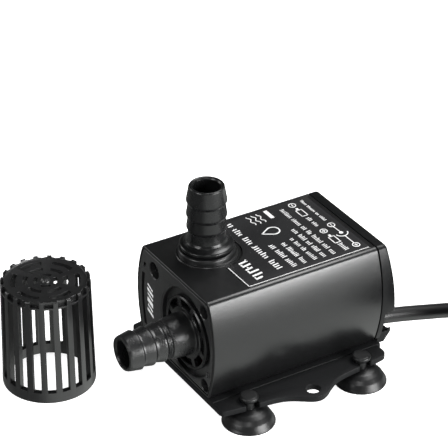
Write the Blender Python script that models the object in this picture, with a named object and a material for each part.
"""Small submersible fountain pump: brushless magnet drive motor, barbed inlet and outlet,
base plate on four suction cups, a lift-off strainer cage and a coiled low-voltage lead.

Frame: +Z is up, the inlet faces -Y and the lead leaves towards +Y.  The origin is the centre
of the base plate's underside, on the line between the two ear holes.

All the sizes below are in millimetres.  The mesh helpers scale them to metres.
"""
from math import cos, exp, pi, radians, sin, sqrt

import bmesh
import bpy
from mathutils import Matrix, Vector

MM = 0.001
GAP = 0.3                       # clearance between touching pieces

# ---- driving dimensions -------------------------------------------------------------------
BODY_LENGTH = 53.0
FRONT_Y = -25.0                 # face of the front cover and of the housing's rim
REAR_Y = FRONT_Y + BODY_LENGTH
REAR_COVER_DEPTH = 2.8
HOUSING_REAR_Y = REAR_Y - REAR_COVER_DEPTH - GAP
HOOD_Z = 11.0                   # underside of the rear cover's overhang, above the lead
HOOD_REACH = 1.7                # how much further back the cover reaches there than on top
STEP_Y = REAR_Y - 1.4           # rear face of the cover below the overhang

PLATE_THICKNESS = 1.6
PLATE_FRONT_Y = FRONT_Y
PLATE_REAR_Y = 24.8
BODY_BOTTOM = PLATE_THICKNESS + GAP
BODY_TOP = 29.9
WIDEST_Z = 16.2                 # height where the bulging sides are widest
WIDEST_HALF = 19.15
UPPER_SIDE_RADIUS = 30.0        # the sides draw in faster towards the top
LOWER_SIDE_RADIUS = 37.0
TOP_EDGE_RADIUS = 1.5
BOTTOM_EDGE_RADIUS = 1.0
WALL = 1.8

FLOOR_Z = -4.4                  # rims of the suction cups

ROTOR_X = 5.0                   # the rotor's axis is off the body's middle
ROTOR_Z = 15.2
OUTLET_X = -4.45
OUTLET_Y = -13.0

# front cover and pump chamber
RIM_WIDTH = 0.6
COVER_INSET = RIM_WIDTH + GAP
COVER_BACK_Y = FRONT_Y + 2.8
POCKET_FLOOR_Y = COVER_BACK_Y + GAP
RECESS_RADIUS = 11.84
RECESS_DEPTH = 1.6
EYE_RADIUS = 8.9
CHAMBER_RADIUS = 10.5
CHAMBER_REAR_Y = -9.5
GASKET_REBATE = 12.2
# x, z and counterbore radius of the four cover screws
SCREW_SITES = {
    "top_left": (-10.2, 25.2, 2.3),
    "top_right": (13.9, 26.3, 1.9),
    "bottom_left": (-12.5, 5.2, 1.9),
    "bottom_right": (14.4, 4.8, 1.8),
}
COUNTERBORE_DEPTH = 1.9
SCREW_HEAD_RADIUS = 1.5
SCREW_HEAD_HEIGHT = 0.7
SCREW_SHANK_RADIUS = 0.7
SCREW_LENGTH = 8.0

# rotor well and motor
WELL_RADIUS = 6.2
WELL_END_Y = 12.0
CAN_WALL = 0.8
CAVITY_FRONT_Y = -6.5
SHAFT_RADIUS = 1.0
SHAFT_FRONT_Y = COVER_BACK_Y - 0.7
SHAFT_REAR_Y = 11.4
BORE_CLEAR = 0.25
STATOR_MIDDLE_Y = 2.6
STATOR_HALF_LENGTH = 7.0
STATOR_OUTER = 11.4
STATOR_YOKE_INNER = 10.2
STATOR_SHOE_OUTER = 8.0
STATOR_INNER = WELL_RADIUS + CAN_WALL + GAP
POLES = 4
TOOTH_HALF = 2.0

# outlet fitting
BOSS_RADIUS = 7.3
BOSS_TOP = BODY_TOP + 1.9
OUTLET_SEAT_RADIUS = 5.2
OUTLET_SEAT_Z = 26.0
OUTLET_TIP_Z = 49.6
OUTLET_BORE = 3.5

# label plate, let into the top behind the outlet
LABEL_LEFT = -14.7
LABEL_RIGHT = 14.7
LABEL_FRONT_Y = OUTLET_Y + 0.6
LABEL_REAR_Y = 23.5
LABEL_BITE_RADIUS = 8.8
LABEL_THICKNESS = 0.5

# inlet fitting
INLET_TIP_Y = FRONT_Y - 18.0
INLET_RING_RADIUS = 9.75
INLET_BORE = 3.5
INLET_WINDOWS = 8

# base plate
PLATE_FRONT_HALF = 22.6
PLATE_MIDDLE_HALF = 24.8
EAR_REACH = 29.4
EAR_SPREAD = 5.6
EAR_HOLE_X = 25.7
EAR_HOLE_RADIUS = 1.85
CUP_X = 21.7
CUP_FRONT_Y = -16.5
CUP_REAR_Y = 17.3
CUP_RADIUS = 6.83
CUP_NECK_RADIUS = 1.4

# strainer cage, which stands beside the pump
STRAINER_X = -20.8
STRAINER_Y = -50.3
STRAINER_RADIUS = 12.0          # at the open end; the cage tapers to its top
STRAINER_TOP_RADIUS = 11.4
STRAINER_WALL = 1.5
STRAINER_HEIGHT = 29.8
STRAINER_RIBS = 20

# lead
CABLE_RADIUS = 2.0
CABLE_X = 13.6
CABLE_Z = 6.4
CABLE_REST_Z = FLOOR_Z + CABLE_RADIUS
COIL_COLUMNS = 3                # turns side by side
COIL_ROWS = 4                   # turns on top of each other
COIL_MIDDLE_RADIUS = 23.0
COIL_INNER = COIL_MIDDLE_RADIUS - COIL_COLUMNS * CABLE_RADIUS
COIL_OUTER = COIL_MIDDLE_RADIUS + COIL_COLUMNS * CABLE_RADIUS
COIL_HEIGHT = COIL_ROWS * 2 * CABLE_RADIUS
COIL_X = CABLE_X + COIL_OUTER - CABLE_RADIUS
COIL_Y = 70.0
COIL_TOP = FLOOR_Z + COIL_HEIGHT
PLUG_RADIUS = 5.0
PLUG_LENGTH = 20.0
PLUG_RELIEF_LENGTH = 9.0
PLUG_Z = COIL_TOP + GAP + PLUG_RADIUS
TAIL_Z = COIL_TOP + GAP + CABLE_RADIUS
TAIL_RADIUS = COIL_INNER + CABLE_RADIUS     # the tail follows the innermost turns
PLUG_X = COIL_X - TAIL_RADIUS
PLUG_START_Y = COIL_Y
TIE_WIDTH = 5.0
TIE_THICKNESS = 0.8

BLACK_SATIN = ("black_satin_plastic", (0.030, 0.031, 0.032), 0.42, 0.0)
BLACK_GLOSS = ("black_gloss_plastic", (0.020, 0.020, 0.021), 0.22, 0.0)
BLACK_MATT = ("black_matt_plastic", (0.035, 0.036, 0.037), 0.60, 0.0)
BLACK_RUBBER = ("black_rubber", (0.028, 0.028, 0.029), 0.55, 0.0)
CABLE_RUBBER = ("cable_rubber", (0.025, 0.025, 0.027), 0.50, 0.0)
ROTOR_PLASTIC = ("rotor_plastic", (0.75, 0.75, 0.72), 0.45, 0.0)
STEEL = ("steel", (0.62, 0.62, 0.63), 0.30, 1.0)
FERRITE = ("ferrite", (0.07, 0.07, 0.075), 0.55, 0.0)
CERAMIC = ("ceramic", (0.88, 0.87, 0.84), 0.20, 0.0)
LAMINATION = ("electrical_steel", (0.36, 0.37, 0.39), 0.45, 1.0)
COPPER = ("enamelled_copper", (0.70, 0.32, 0.14), 0.30, 1.0)
BOARD_GREEN = ("board_green", (0.03, 0.20, 0.08), 0.40, 0.0)
CHIP_BLACK = ("chip_black", (0.02, 0.02, 0.02), 0.50, 0.0)
WIRE_RED = ("wire_red", (0.55, 0.03, 0.02), 0.45, 0.0)


# ---- helpers ------------------------------------------------------------------------------
def material(spec):
    name, colour, roughness, metallic = spec
    found = bpy.data.materials.get(name)
    if found:
        return found
    made = bpy.data.materials.new(name)
    made.use_nodes = True
    shader = made.node_tree.nodes["Principled BSDF"]
    shader.inputs["Base Color"].default_value = (*colour, 1.0)
    shader.inputs["Roughness"].default_value = roughness
    shader.inputs["Metallic"].default_value = metallic
    return made


def add_object(name, bm, spec=None):
    """Turn a bmesh in millimetres into a closed, outward-facing object in metres."""
    bmesh.ops.recalc_face_normals(bm, faces=bm.faces)
    bmesh.ops.scale(bm, vec=(MM, MM, MM), verts=bm.verts)
    mesh = bpy.data.meshes.new(name)
    bm.to_mesh(mesh)
    bm.free()
    mesh.shade_smooth()
    mesh.set_sharp_from_angle(angle=radians(35))
    obj = bpy.data.objects.new(name, mesh)
    bpy.context.scene.collection.objects.link(obj)
    if spec:
        mesh.materials.append(material(spec))
    return obj


def place(obj, location, rotation=(0.0, 0.0, 0.0)):
    obj.location = Vector(location) * MM
    obj.rotation_euler = rotation
    return obj


def bridge(bm, lower, upper):
    """Quads between two rings of vertices."""
    count = len(lower)
    for i in range(count):
        j = (i + 1) % count
        bm.faces.new((lower[i], lower[j], upper[j], upper[i]))


def lathe(name, profile, segments, spec=None):
    """Turn (radius, height) points about Z.  A profile that starts and ends on the axis is a
    solid; any other profile is closed on itself and makes a ring."""
    bm = bmesh.new()
    rings = []
    for radius, height in profile:
        if radius == 0.0:
            rings.append([bm.verts.new((0.0, 0.0, height))])
            continue
        angles = [2 * pi * k / segments for k in range(segments)]
        rings.append([bm.verts.new((radius * cos(a), radius * sin(a), height)) for a in angles])
    pairs = list(zip(rings, rings[1:]))
    if profile[0][0] > 0.0:
        pairs.append((rings[-1], rings[0]))
    for first, second in pairs:
        if len(first) == len(second):
            bridge(bm, first, second)
            continue
        tip, ring = (first[0], second) if len(first) == 1 else (second[0], first)
        for k in range(segments):
            bm.faces.new((tip, ring[k], ring[(k + 1) % segments]))
    return add_object(name, bm, spec)


def lathe_y(name, profile, segments, centre_x, centre_z, spec=None):
    """Turn (radius, y) points about an axis along Y through (centre_x, centre_z)."""
    obj = lathe(name, [(radius, -y) for radius, y in profile], segments, spec)
    return place(obj, (centre_x, 0.0, centre_z), (radians(90), 0.0, 0.0))


def loft_y(name, sections, spec=None):
    """Closed solid through (outline, y) sections, whose outlines are (x, z) points."""
    bm = bmesh.new()
    rings = []
    for outline, y in sections:
        rings.append([bm.verts.new((x, y, z)) for x, z in outline])
    for lower, upper in zip(rings, rings[1:]):
        bridge(bm, lower, upper)
    bm.faces.new(rings[0])
    bm.faces.new(rings[-1])
    return add_object(name, bm, spec)


def prism_z(name, outline, low, high, spec=None):
    """Straight solid over an outline of (x, y) points."""
    bm = bmesh.new()
    base = [bm.verts.new((x, y, low)) for x, y in outline]
    top = [bm.verts.new((x, y, high)) for x, y in outline]
    bridge(bm, base, top)
    bm.faces.new(base)
    bm.faces.new(top)
    return add_object(name, bm, spec)


def box(name, low, high, spec=None):
    corners = [(low[0], low[1]), (high[0], low[1]), (high[0], high[1]), (low[0], high[1])]
    return prism_z(name, corners, low[2], high[2], spec)


def frame_z(name, outer, inner, low, high, spec=None):
    """Ring between two outlines with the same number of points."""
    bm = bmesh.new()
    loops = []
    for outline, z in ((outer, low), (outer, high), (inner, high), (inner, low)):
        loops.append([bm.verts.new((x, y, z)) for x, y in outline])
    for first, second in zip(loops, loops[1:] + loops[:1]):
        bridge(bm, first, second)
    return add_object(name, bm, spec)


def merge_pieces(name, pieces):
    """Join helper solids that don't touch into one cutter."""
    bm = bmesh.new()
    for piece in pieces:
        part = piece.data.copy()
        part.transform(piece.matrix_basis)
        bm.from_mesh(part)
        bpy.data.meshes.remove(part)
        bpy.data.objects.remove(piece)
    mesh = bpy.data.meshes.new(name)
    bm.to_mesh(mesh)
    bm.free()
    obj = bpy.data.objects.new(name, mesh)
    bpy.context.scene.collection.objects.link(obj)
    return obj


def combine(target, tool, operation):
    tool.hide_render = True
    tool.display_type = "WIRE"
    modifier = target.modifiers.new(tool.name, "BOOLEAN")
    modifier.operation = operation
    modifier.solver = "EXACT"
    modifier.object = tool


def cut(target, tool):
    combine(target, tool, "DIFFERENCE")


def add(target, tool):
    combine(target, tool, "UNION")


def arc(centre, radius, start, end, steps):
    """Points on an arc, angles in degrees."""
    angles = [radians(start + (end - start) * k / steps) for k in range(steps + 1)]
    return [(centre[0] + radius * cos(a), centre[1] + radius * sin(a)) for a in angles]


def fillet(before, corner, after, radius, steps):
    """Round a corner between two neighbouring points."""
    at = Vector(corner)
    one = (Vector(before) - at).normalized()
    two = (Vector(after) - at).normalized()
    half = one.angle(two) / 2
    centre = at + (one + two).normalized() * (radius / sin(half))
    start = at + one * (radius / sqrt((1 / cos(half)) ** 2 - 1)) - centre
    turn = pi - 2 * half
    if one.cross(two) > 0:
        turn = -turn
    points = []
    for k in range(steps + 1):
        rotated = Matrix.Rotation(turn * k / steps, 2) @ start
        points.append(tuple(centre + rotated))
    return points


def rounded_rectangle(half_x, half_y, radius, steps=3):
    points = []
    corners = ((1, 1, 0), (-1, 1, 90), (-1, -1, 180), (1, -1, 270))
    for sign_x, sign_y, start in corners:
        centre = (sign_x * (half_x - radius), sign_y * (half_y - radius))
        points += arc(centre, radius, start, start + 90, steps)
    return points


def tube_curve(name, points, radius, bevel_resolution, spec):
    """Round cord along a list of points, as a curve with filled caps."""
    curve = bpy.data.curves.new(name, "CURVE")
    curve.dimensions = "3D"
    curve.bevel_depth = radius * MM
    curve.bevel_resolution = bevel_resolution
    curve.use_fill_caps = True
    curve.render_resolution_u = 0
    spline = curve.splines.new("POLY")
    spline.points.add(len(points) - 1)
    for target, point in zip(spline.points, points):
        target.co = (*(Vector(point) * MM), 1.0)
    curve.materials.append(material(spec))
    obj = bpy.data.objects.new(name, curve)
    bpy.context.scene.collection.objects.link(obj)
    return obj


def smooth_route(controls, spacing):
    """Points about `spacing` apart on a centripetal Catmull-Rom curve through the controls."""
    knots = [Vector(c) for c in controls]
    first = knots[0] * 2 - knots[1]
    last = knots[-1] * 2 - knots[-2]
    padded = [first] + knots + [last]
    route = []
    for i in range(1, len(padded) - 2):
        p0, p1, p2, p3 = padded[i - 1:i + 3]
        t1 = sqrt((p1 - p0).length)
        t2 = t1 + sqrt((p2 - p1).length)
        t3 = t2 + sqrt((p3 - p2).length)
        steps = max(1, round((p2 - p1).length / spacing))
        for k in range(steps):
            t = t1 + (t2 - t1) * k / steps
            a1 = p0 * ((t1 - t) / t1) + p1 * (t / t1)
            a2 = p1 * ((t2 - t) / (t2 - t1)) + p2 * ((t - t1) / (t2 - t1))
            a3 = p2 * ((t3 - t) / (t3 - t2)) + p3 * ((t - t2) / (t3 - t2))
            b1 = a1 * ((t2 - t) / t2) + a2 * (t / t2)
            b2 = a2 * ((t3 - t) / (t3 - t1)) + a3 * ((t - t1) / (t3 - t1))
            route.append(b1 * ((t2 - t) / (t2 - t1)) + b2 * ((t - t1) / (t2 - t1)))
    route.append(knots[-1])
    return [tuple(p) for p in route]


# ---- shared outlines ----------------------------------------------------------------------
def side_half(z):
    """Half the body's width at a height."""
    radius = UPPER_SIDE_RADIUS if z > WIDEST_Z else LOWER_SIDE_RADIUS
    return WIDEST_HALF - (z - WIDEST_Z) ** 2 / (2 * radius)


def body_outline(inset=0.0, side_steps=9):
    """The body's cross-section, drawn in by `inset`, as (x, z) points."""
    top = BODY_TOP - inset
    bottom = BODY_BOTTOM + inset
    top_radius = max(TOP_EDGE_RADIUS - inset * 0.5, 0.5)
    bottom_radius = max(BOTTOM_EDGE_RADIUS - inset * 0.5, 0.4)
    clear = 1.6
    heights = []
    for k in range(side_steps + 1):
        heights.append(top - clear + (bottom - top + 2 * clear) * k / side_steps)
    side = [(side_half(z) - inset, z) for z in heights]
    top_corner = (side_half(top) - inset, top)
    bottom_corner = (side_half(bottom) - inset, bottom)
    right = fillet((0.0, top), top_corner, side[0], top_radius, 4)
    right += side
    right += fillet(side[-1], bottom_corner, (0.0, bottom), bottom_radius, 3)
    left = [(-x, z) for x, z in reversed(right)]
    return right + left


def plate_edge(y):
    """Half the base plate's width: bowed sides with an ear round each screw hole."""
    bow = (PLATE_MIDDLE_HALF - PLATE_FRONT_HALF) * (y / -FRONT_Y) ** 2
    ear = (EAR_REACH - PLATE_MIDDLE_HALF) * exp(-(y / EAR_SPREAD) ** 2)
    return PLATE_MIDDLE_HALF - bow + ear


def slot_points(y):
    """Open slot in the plate's right edge for a cup's neck, from its front lip to its rear."""
    half = CUP_NECK_RADIUS + GAP
    front = (plate_edge(y - half), y - half)
    rear = (plate_edge(y + half), y + half)
    inner = [(2 * CUP_X - x, py) for x, py in arc((CUP_X, y), half, -90, 90, 6)]
    return [front] + inner + [rear]


def plate_outline():
    right = fillet((0.0, PLATE_FRONT_Y), (plate_edge(PLATE_FRONT_Y), PLATE_FRONT_Y),
                   (plate_edge(PLATE_FRONT_Y + 5), PLATE_FRONT_Y + 5), 1.5, 3)
    right += slot_points(CUP_FRONT_Y)
    right += [(plate_edge(k * 1.5), k * 1.5) for k in range(-8, 9)]
    right += slot_points(CUP_REAR_Y)
    right += fillet((plate_edge(PLATE_REAR_Y - 5), PLATE_REAR_Y - 5),
                    (plate_edge(PLATE_REAR_Y), PLATE_REAR_Y), (0.0, PLATE_REAR_Y), 2.0, 4)
    left = [(-x, y) for x, y in reversed(right)]
    return right + left


# ---- shells -------------------------------------------------------------------------------
def cylinder_y(name, radius, y_low, y_high, segments, centre=(ROTOR_X, ROTOR_Z)):
    profile = [(0.0, y_low), (radius, y_low), (radius, y_high), (0.0, y_high)]
    return lathe_y(name, profile, segments, centre[0], centre[1])


def cylinder_z(name, radius, z_low, z_high, segments, centre):
    profile = [(0.0, z_low), (radius, z_low), (radius, z_high), (0.0, z_high)]
    return place(lathe(name, profile, segments), (centre[0], centre[1], 0.0))


def label_outline(grow):
    """Rectangle behind the outlet with a concentric bite round it."""
    left = LABEL_LEFT - grow
    right = LABEL_RIGHT + grow
    front = LABEL_FRONT_Y - grow
    rear = LABEL_REAR_Y + grow
    bite = arc((OUTLET_X, front), LABEL_BITE_RADIUS - grow, 180.0, 0.0, 12)
    return [(right, front), (right, rear), (left, rear), (left, front)] + bite


def make_housing():
    outline = body_outline()
    rim = body_outline(0.35)
    housing = loft_y("housing", [(rim, FRONT_Y), (outline, FRONT_Y + 0.35),
                                 (outline, HOUSING_REAR_Y)], BLACK_SATIN)
    pocket = body_outline(RIM_WIDTH)
    cavity = body_outline(WALL)
    cut(housing, loft_y("cover_pocket", [(pocket, FRONT_Y - 1), (pocket, POCKET_FLOOR_Y)]))
    cut(housing, loft_y("motor_cavity", [(cavity, CAVITY_FRONT_Y), (cavity, REAR_Y)]))
    add(housing, cylinder_y("rotor_can", WELL_RADIUS + CAN_WALL, CAVITY_FRONT_Y - 1,
                            WELL_END_Y + CAN_WALL, 32))
    boss = [(0.0, 28.5), (7.9, 28.5), (7.9, 30.1), (BOSS_RADIUS, 30.4),
            (BOSS_RADIUS, BOSS_TOP), (0.0, BOSS_TOP)]
    add(housing, place(lathe("outlet_boss", boss, 32), (OUTLET_X, OUTLET_Y, 0.0)))
    chamber = [(0.0, FRONT_Y - 0.5), (GASKET_REBATE, FRONT_Y - 0.5),
               (GASKET_REBATE, POCKET_FLOOR_Y + 0.9), (CHAMBER_RADIUS, POCKET_FLOOR_Y + 0.9),
               (CHAMBER_RADIUS, CHAMBER_REAR_Y), (WELL_RADIUS, CHAMBER_REAR_Y),
               (WELL_RADIUS, WELL_END_Y), (0.0, WELL_END_Y)]
    cut(housing, lathe_y("pump_chamber", chamber, 32, ROTOR_X, ROTOR_Z))
    passage = [(0.0, ROTOR_Z), (3.2, ROTOR_Z), (3.2, OUTLET_SEAT_Z),
               (OUTLET_SEAT_RADIUS, OUTLET_SEAT_Z), (OUTLET_SEAT_RADIUS, 40.0), (0.0, 40.0)]
    cut(housing, place(lathe("outlet_passage", passage, 24), (OUTLET_X, OUTLET_Y, 0.0)))
    cut(housing, prism_z("label_recess", label_outline(GAP), BODY_TOP - LABEL_THICKNESS - GAP,
                         BODY_TOP + 1))
    pilots = []
    for key, (x, z, _) in SCREW_SITES.items():
        pilots.append(cylinder_y("pilot_" + key, SCREW_SHANK_RADIUS + 0.2, FRONT_Y,
                                 FRONT_Y + COUNTERBORE_DEPTH + SCREW_LENGTH, 10, (x, z)))
    cut(housing, merge_pieces("screw_pilots", pilots))


def make_front_cover():
    outline = body_outline(COVER_INSET)
    cover = loft_y("front_cover", [(outline, FRONT_Y), (outline, COVER_BACK_Y)], BLACK_SATIN)
    recess = [(0.0, FRONT_Y - 1), (RECESS_RADIUS, FRONT_Y - 1),
              (RECESS_RADIUS, FRONT_Y + RECESS_DEPTH), (EYE_RADIUS, FRONT_Y + RECESS_DEPTH),
              (EYE_RADIUS, COVER_BACK_Y + 1), (0.0, COVER_BACK_Y + 1)]
    cut(cover, lathe_y("inlet_recess", recess, 40, ROTOR_X, ROTOR_Z))
    # three-armed spider that carries the front end of the shaft
    spider_front = COVER_BACK_Y - 0.9
    for k in range(3):
        angle = radians(90 + 120 * k)
        arm = box("spider_arm_%d" % k, (1.0, spider_front, -0.6),
                  (EYE_RADIUS + 0.6, COVER_BACK_Y, 0.6))
        place(arm, (ROTOR_X, 0.0, ROTOR_Z), (0.0, angle, 0.0))
        add(cover, arm)
    add(cover, cylinder_y("spider_hub", 3.2, spider_front, COVER_BACK_Y, 20))
    cut(cover, cylinder_y("spider_bore", 2.3, FRONT_Y, COVER_BACK_Y + 1, 20))
    holes = []
    for key, (x, z, radius) in SCREW_SITES.items():
        seat = FRONT_Y + COUNTERBORE_DEPTH
        profile = [(0.0, FRONT_Y - 1), (radius, FRONT_Y - 1), (radius, seat),
                   (SCREW_SHANK_RADIUS + GAP, seat), (SCREW_SHANK_RADIUS + GAP, FRONT_Y + 5),
                   (0.0, FRONT_Y + 5)]
        holes.append(lathe_y("counterbore_" + key, profile, 20, x, z))
    cut(cover, merge_pieces("counterbores", holes))


def make_rear_cover():
    start = HOUSING_REAR_Y + GAP
    outline = body_outline()
    cover = loft_y("rear_cover", [(outline, start), (outline, REAR_Y - 0.7),
                                  (body_outline(0.2), REAR_Y - 0.2),
                                  (body_outline(0.7), REAR_Y)], BLACK_SATIN)
    # the rear face leans outwards down to the overhang
    for vertex in cover.data.vertices:
        if vertex.co.y > REAR_Y - 1.0:
            vertex.co.y += HOOD_REACH * (BODY_TOP - vertex.co.z) / (BODY_TOP - HOOD_Z)
    cut(cover, box("below_hood", (-30.0, STEP_Y, -5.0), (30.0, REAR_Y + 6.0, HOOD_Z)))
    # hooked ledge across the foot of the cover, which locks the base plate's rear edge
    half = 16.3
    ledge = prism_z("ledge", [(STEP_Y - 0.6, 0.5), (REAR_Y + 0.2, 0.4), (REAR_Y + 2.2, 3.0),
                              (REAR_Y + 2.2, 4.2), (REAR_Y + 1.5, 4.4), (REAR_Y + 1.1, 3.5),
                              (STEP_Y - 0.6, 3.5)], -half, half)
    ledge.rotation_euler = (radians(90), 0.0, radians(90))
    add(cover, ledge)
    cut(cover, cylinder_y("cable_hole", CABLE_RADIUS + 1.0, HOUSING_REAR_Y, REAR_Y + 4, 20,
                          (CABLE_X, CABLE_Z)))


def make_base_plate():
    plate = prism_z("base_plate", plate_outline(), 0.0, PLATE_THICKNESS, BLACK_MATT)
    holes = []
    for side in (-1, 1):
        holes.append(cylinder_z("ear_hole", EAR_HOLE_RADIUS, -1, PLATE_THICKNESS + 1, 20,
                                (side * EAR_HOLE_X, 0.0)))
    cut(plate, merge_pieces("ear_holes", holes))


def make_label_plate():
    prism_z("label_plate", label_outline(0.0), BODY_TOP - LABEL_THICKNESS, BODY_TOP,
            BLACK_GLOSS)


# ---- fittings -----------------------------------------------------------------------------
def make_outlet_fitting():
    bore = OUTLET_BORE
    profile = [
        (bore, OUTLET_SEAT_Z + GAP), (4.9, OUTLET_SEAT_Z + GAP), (4.9, 32.3), (6.9, 32.3),
        (6.95, 33.2), (5.9, 33.9), (5.1, 34.7), (4.7, 35.8), (4.7, 36.7), (5.1, 37.7),
        (4.75, 40.3), (5.15, 41.4), (4.75, 44.2), (5.15, 45.4), (4.6, 49.2),
        (4.44, OUTLET_TIP_Z), (bore + 0.4, OUTLET_TIP_Z), (bore, OUTLET_TIP_Z - 1.0),
    ]
    fitting = lathe("outlet_fitting", profile, 32, BLACK_SATIN)
    place(fitting, (OUTLET_X, OUTLET_Y, 0.0))
    # the O-ring is squeezed between the fitting's collar and the boss
    section = arc((5.75, (BOSS_TOP + 32.3) / 2), 0.16, 0, 300, 5)
    seal = lathe("outlet_o_ring", section, 24, BLACK_RUBBER)
    place(seal, (OUTLET_X, OUTLET_Y, 0.0))


def make_inlet_fitting():
    back = FRONT_Y + RECESS_DEPTH - GAP
    face = FRONT_Y
    profile = [
        (INLET_BORE, back), (INLET_RING_RADIUS, back), (INLET_RING_RADIUS, face),
        (9.1, face), (9.0, face + 0.3), (6.95, face + 0.3), (6.85, face), (5.75, face),
        (5.65, face - 0.4), (5.4, face - 3.7), (5.1, face - 5.95), (4.7, face - 6.05),
        (4.7, face - 6.35), (5.05, face - 6.5), (4.7, face - 10.2), (5.08, face - 10.8),
        (4.62, face - 13.6), (5.12, face - 14.2), (4.7, INLET_TIP_Y + 0.5),
        (4.45, INLET_TIP_Y), (INLET_BORE + 0.4, INLET_TIP_Y), (INLET_BORE, INLET_TIP_Y + 1.0),
    ]
    fitting = lathe_y("inlet_fitting", profile, 32, ROTOR_X, ROTOR_Z, BLACK_GLOSS)
    windows = []
    step = 360.0 / INLET_WINDOWS
    for k in range(INLET_WINDOWS):
        middle = 92 + step * k
        outline = arc((0, 0), 8.95, middle - 17.5, middle + 17.5, 3)
        outline += arc((0, 0), 7.0, middle + 16, middle - 16, 2)
        window = prism_z("window_%d" % k, outline, -back - 1, -face + 1)
        place(window, (ROTOR_X, 0.0, ROTOR_Z), (radians(90), 0.0, 0.0))
        windows.append(window)
    cut(fitting, merge_pieces("inlet_windows", windows))


def make_gasket():
    y0 = POCKET_FLOOR_Y + 0.05
    section = [(11.0, y0), (11.9, y0), (11.9, y0 + 0.6), (11.0, y0 + 0.6)]
    lathe_y("cover_gasket", section, 32, ROTOR_X, ROTOR_Z, BLACK_RUBBER)


def make_cover_screws():
    head_y = FRONT_Y + COUNTERBORE_DEPTH - 0.15
    for key, (x, z, _) in SCREW_SITES.items():
        front = head_y - SCREW_HEAD_HEIGHT
        profile = [(0.0, front), (SCREW_HEAD_RADIUS * 0.85, front),
                   (SCREW_HEAD_RADIUS, front + 0.25), (SCREW_HEAD_RADIUS, head_y),
                   (SCREW_SHANK_RADIUS, head_y), (SCREW_SHANK_RADIUS, head_y + SCREW_LENGTH - 1),
                   (0.0, head_y + SCREW_LENGTH)]
        screw = lathe_y("cover_screw_" + key, profile, 12, x, z, STEEL)
        for angle in (45, 135):
            slot = box("cross_slot_%s_%d" % (key, angle), (-1.0, front - 0.5, -0.2),
                       (1.0, front + 0.45, 0.2))
            place(slot, (x, 0.0, z), (0.0, radians(angle), 0.0))
            cut(screw, slot)


# ---- rotor --------------------------------------------------------------------------------
def blade_outline(start):
    """One swept vane of the impeller, as (x, z) points about the rotor's axis."""
    outer = []
    inner = []
    steps = 4
    for k in range(steps + 1):
        share = k / steps
        radius = 2.0 + 7.2 * share
        angle = radians(start - 42 * share ** 1.2)
        across = 0.4 / radius
        outer.append((radius * cos(angle + across), radius * sin(angle + across)))
        inner.append((radius * cos(angle - across), radius * sin(angle - across)))
    return outer + inner[::-1]


def make_rotor():
    bore = SHAFT_RADIUS + BORE_CLEAR
    profile = [(bore, -20.6), (2.4, -20.6), (2.7, -18.0), (3.0, -12.2), (9.4, -11.9),
               (9.4, -10.7), (4.0, -10.4), (2.7, -9.9), (2.7, 8.5), (bore, 8.5)]
    impeller = lathe_y("impeller", profile, 28, ROTOR_X, ROTOR_Z, ROTOR_PLASTIC)
    for k in range(6):
        vane = loft_y("vane_%d" % k, [(blade_outline(60 * k), -17.6),
                                      (blade_outline(60 * k), -11.4)])
        place(vane, (ROTOR_X, 0.0, ROTOR_Z))
        add(impeller, vane)
    cut(impeller, cylinder_y("impeller_bore", bore, -22.0, 10.0, 16))
    magnet = [(3.0, -8.2), (5.7, -8.2), (5.7, 8.2), (3.0, 8.2)]
    lathe_y("rotor_magnet", magnet, 24, ROTOR_X, ROTOR_Z, FERRITE)


def make_shaft_and_bearings():
    shaft = [(0.0, SHAFT_FRONT_Y), (SHAFT_RADIUS - 0.2, SHAFT_FRONT_Y),
             (SHAFT_RADIUS, SHAFT_FRONT_Y + 0.2), (SHAFT_RADIUS, SHAFT_REAR_Y - 0.2),
             (SHAFT_RADIUS - 0.2, SHAFT_REAR_Y), (0.0, SHAFT_REAR_Y)]
    lathe_y("shaft", shaft, 16, ROTOR_X, ROTOR_Z, CERAMIC)
    bore = SHAFT_RADIUS + 0.2
    rings = {
        "front_bush": (bore, 2.0, COVER_BACK_Y - 0.8, COVER_BACK_Y - 0.1, BLACK_RUBBER),
        "front_thrust_washer": (bore, 2.4, -21.6, -21.1, CERAMIC),
        "rear_thrust_washer": (bore, 3.2, 8.8, 9.2, CERAMIC),
        "rear_bush": (bore, WELL_RADIUS - 0.25, 9.6, 11.7, BLACK_RUBBER),
    }
    for name, (inner, outer, low, high, spec) in rings.items():
        section = [(inner, low), (outer, low), (outer, high), (inner, high)]
        lathe_y(name, section, 16, ROTOR_X, ROTOR_Z, spec)


# ---- stator and electronics ---------------------------------------------------------------
def make_stator():
    low = STATOR_MIDDLE_Y - STATOR_HALF_LENGTH
    high = STATOR_MIDDLE_Y + STATOR_HALF_LENGTH
    yoke = [(STATOR_YOKE_INNER, low), (STATOR_OUTER, low), (STATOR_OUTER, high),
            (STATOR_YOKE_INNER, high)]
    core = lathe_y("stator_core", yoke, 32, ROTOR_X, ROTOR_Z, LAMINATION)
    for k in range(POLES):
        outline = arc((0, 0), STATOR_INNER, 58, 122, 6)
        outline += arc((0, 0), STATOR_SHOE_OUTER, 122, 105, 2)
        outline += [(-TOOTH_HALF, STATOR_YOKE_INNER + 0.5), (TOOTH_HALF, STATOR_YOKE_INNER + 0.5)]
        outline += arc((0, 0), STATOR_SHOE_OUTER, 75, 58, 2)
        tooth = loft_y("tooth_%d" % k, [(outline, low), (outline, high)])
        place(tooth, (ROTOR_X, 0.0, ROTOR_Z), (0.0, radians(45 + 360 * k / POLES), 0.0))
        add(core, tooth)


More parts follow.
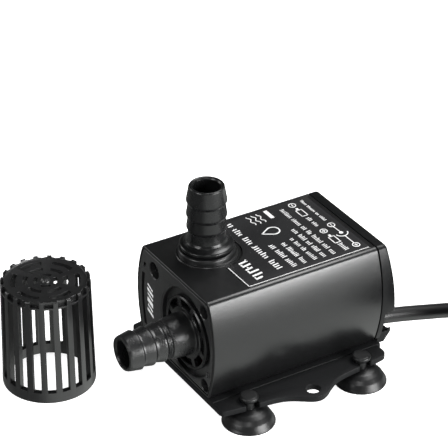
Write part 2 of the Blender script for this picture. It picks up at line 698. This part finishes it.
def make_stator_coils():
    inner = rounded_rectangle(TOOTH_HALF + GAP, STATOR_HALF_LENGTH + GAP, 0.4)
    outer = rounded_rectangle(3.5, STATOR_HALF_LENGTH + 1.5, 1.2)
    for k in range(POLES):
        coil = frame_z("stator_coil_%d" % (k + 1), outer, inner, STATOR_SHOE_OUTER + 0.3, 9.35,
                       COPPER)
        turn = radians(45 + 360 * k / POLES)
        place(coil, (ROTOR_X, STATOR_MIDDLE_Y, ROTOR_Z), (0.0, turn, 0.0))


def make_electronics():
    box("circuit_board", (-13.5, 15.0, 5.5), (13.5, 16.2, 27.0), BOARD_GREEN)
    box("driver_chip", (-4.0, 16.5, 16.0), (1.0, 18.0, 20.0), CHIP_BLACK)
    box("hall_sensor", (3.4, 13.2, 20.5), (6.6, 14.7, 23.5), CHIP_BLACK)
    can = [(0.0, 16.5), (2.3, 16.5), (2.5, 16.8), (2.5, 22.3), (2.3, 22.6), (0.0, 22.6)]
    lathe_y("smoothing_capacitor", can, 16, -8.5, 11.0, LAMINATION)
    for name, side, spec in (("positive_wire", 1, WIRE_RED), ("negative_wire", -1, CHIP_BLACK)):
        start = (CABLE_X + 0.9 * side, 21.2, CABLE_Z)
        controls = [start, (CABLE_X + 1.2 * side - 0.6, 19.8, CABLE_Z + 0.8),
                    (CABLE_X + 2.0 * side - 3.0, 18.0, CABLE_Z + 2.6),
                    (CABLE_X + 2.4 * side - 4.0, 16.6, CABLE_Z + 3.6)]
        tube_curve(name, smooth_route(controls, 1.2), 0.5, 2, spec)


# ---- feet and strainer --------------------------------------------------------------------
def make_suction_cups():
    neck = CUP_NECK_RADIUS
    profile = [
        (0.0, 3.45), (1.9, 3.35), (2.4, 3.1), (2.5, 2.8), (2.2, PLATE_THICKNESS + GAP),
        (neck, PLATE_THICKNESS + GAP), (neck, -GAP), (2.4, -0.45), (3.8, -0.85),
        (5.0, -1.6), (5.9, -2.55), (6.5, -3.55), (CUP_RADIUS, FLOOR_Z),
        (CUP_RADIUS - 0.5, FLOOR_Z), (5.4, -3.2), (3.6, -2.3), (0.0, -1.9),
    ]
    for end, y in (("front", CUP_FRONT_Y), ("rear", CUP_REAR_Y)):
        for side, sign in (("left", -1), ("right", 1)):
            cup = lathe("suction_cup_%s_%s" % (end, side), profile, 20, BLACK_RUBBER)
            place(cup, (sign * CUP_X, y, 0.0))


def make_strainer():
    wall = STRAINER_WALL
    top = STRAINER_HEIGHT
    edge = STRAINER_TOP_RADIUS
    rim = edge - 0.9                # the ribs' ends stand round the top as small teeth
    disc = top - 0.5
    profile = [
        (0.0, disc + 0.8), (0.9, disc + 0.7), (1.3, disc), (rim - 0.1, disc), (rim, top),
        (edge - 0.3, top), (edge, top - 0.3), (STRAINER_RADIUS, 0.0),
        (STRAINER_RADIUS - wall, 0.0), (edge - wall, disc - 1.2), (0.0, disc - 1.2),
    ]
    cage = lathe("strainer", profile, 2 * STRAINER_RIBS, BLACK_MATT)
    windows = []
    for k in range(STRAINER_RIBS):
        angle = 2 * pi * (k + 0.5) / STRAINER_RIBS
        window = box("slot", (edge - wall - 0.8, -0.85, 3.0), (STRAINER_RADIUS + 1, 0.85, top - 2.0))
        window.rotation_euler = (0.0, 0.0, angle)
        notch = box("notch", (rim - 0.05, -1.2, top - 1.6), (STRAINER_RADIUS + 1, 1.2, top + 1))
        notch.rotation_euler = (0.0, 0.0, angle)
        windows += [window, notch]
    for radius, width, count, first in ((8.2, 1.3, 6, 36), (5.2, 1.2, 6, 36), (2.6, 1.0, 4, 26)):
        span = 360.0 / count
        for k in range(count):
            start = first + span * k
            outline = arc((0, 0), radius + width / 2, start, start + 0.7 * span, 4)
            outline += arc((0, 0), radius - width / 2, start + 0.7 * span, start, 4)
            windows.append(prism_z("arc_slot", outline, top - 3.0, top + 1))
    slots = merge_pieces("strainer_slots", windows)
    for piece in (cage, slots):
        place(piece, (STRAINER_X, STRAINER_Y, FLOOR_Z))
    cut(cage, slots)


# ---- lead ---------------------------------------------------------------------------------
LEAD_ROUTE = [
    (CABLE_X, 21.6, CABLE_Z), (CABLE_X, 25.0, CABLE_Z), (CABLE_X, 28.5, CABLE_Z),
    (CABLE_X, 32.0, 5.7), (CABLE_X, 37.0, 4.5), (CABLE_X, 43.0, 2.9), (CABLE_X, 49.0, 1.3),
    (CABLE_X, 54.5, -0.3),
]


def make_gland():
    sleeve = [(CABLE_RADIUS + 0.2, 25.0), (2.7, 25.0), (2.7, STEP_Y + 0.5),
              (2.5, STEP_Y + 0.8), (CABLE_RADIUS + 0.2, STEP_Y + 0.8)]
    lathe_y("cable_gland", sleeve, 20, CABLE_X, CABLE_Z, BLACK_RUBBER)


def make_cable():
    tube_curve("cable_lead", smooth_route(LEAD_ROUTE, 5.0), CABLE_RADIUS, 2, CABLE_RUBBER)
    section = rounded_rectangle(COIL_COLUMNS * CABLE_RADIUS, COIL_HEIGHT / 2, 1.6, 1)
    middle = FLOOR_Z + COIL_HEIGHT / 2
    ring = lathe("cable_coil", [(COIL_MIDDLE_RADIUS + r, middle + z) for r, z in section], 36,
                 CABLE_RUBBER)
    place(ring, (COIL_X, COIL_Y, 0.0))
    # loop of strap round the bundle on the side away from the pump
    half_x = COIL_COLUMNS * CABLE_RADIUS
    half_z = COIL_HEIGHT / 2
    outer = rounded_rectangle(half_x, half_z, 1.8)
    inner = rounded_rectangle(half_x - TIE_THICKNESS, half_z - TIE_THICKNESS, 1.2)
    tie = frame_z("cable_tie", outer, inner, -TIE_WIDTH / 2, TIE_WIDTH / 2, BLACK_MATT)
    outside = rounded_rectangle(half_x + 1, half_z + 1, 0.5)
    inside = rounded_rectangle(half_x - TIE_THICKNESS - GAP, half_z - TIE_THICKNESS - GAP, 1.0)
    pinch = frame_z("tie_pinch", outside, inside, -TIE_WIDTH / 2 - GAP, TIE_WIDTH / 2 + GAP)
    for piece in (tie, pinch):
        place(piece, (COIL_X, COIL_Y + COIL_MIDDLE_RADIUS, middle),
              (radians(90), 0.0, radians(90)))
    cut(ring, pinch)


def tail_route():
    """Along the top of the innermost turns and up into the plug, which lies on the bundle."""
    steps = 6
    controls = []
    for k, (x, y) in enumerate(arc((COIL_X, COIL_Y), TAIL_RADIUS, 250, 187, steps)):
        share = k / steps
        rise = (3 - 2 * share) * share ** 2
        controls.append((x, y, TAIL_Z + (PLUG_Z - TAIL_Z) * rise))
    controls.append((PLUG_X, PLUG_START_Y - GAP, PLUG_Z))
    return controls


def make_tail_and_plug():
    tube_curve("cable_tail", smooth_route(tail_route(), 5.0), CABLE_RADIUS, 2, CABLE_RUBBER)
    start = PLUG_START_Y
    relief = start + PLUG_RELIEF_LENGTH
    end = relief + PLUG_LENGTH
    socket = end - 9.0
    body = [(0.0, start), (2.6, start), (3.2, relief - 0.5), (4.2, relief),
            (PLUG_RADIUS, relief + 1), (PLUG_RADIUS, end - 0.5), (PLUG_RADIUS - 0.4, end),
            (3.3, end), (3.3, socket), (0.0, socket)]
    lathe_y("plug_body", body, 20, PLUG_X, PLUG_Z, BLACK_SATIN)
    pin = [(0.0, socket + GAP), (1.05, socket + GAP), (1.05, end - 1.0), (0.7, end - 0.5),
           (0.0, end - 0.5)]
    lathe_y("plug_centre_pin", pin, 12, PLUG_X, PLUG_Z, STEEL)


def main():
    for obj in list(bpy.data.objects):
        bpy.data.objects.remove(obj)
    make_housing()
    make_front_cover()
    make_rear_cover()
    make_base_plate()
    make_label_plate()
    make_outlet_fitting()
    make_inlet_fitting()
    make_gasket()
    make_cover_screws()
    make_rotor()
    make_shaft_and_bearings()
    make_stator()
    make_stator_coils()
    make_electronics()
    make_suction_cups()
    make_strainer()
    make_gland()
    make_cable()
    make_tail_and_plug()


main()
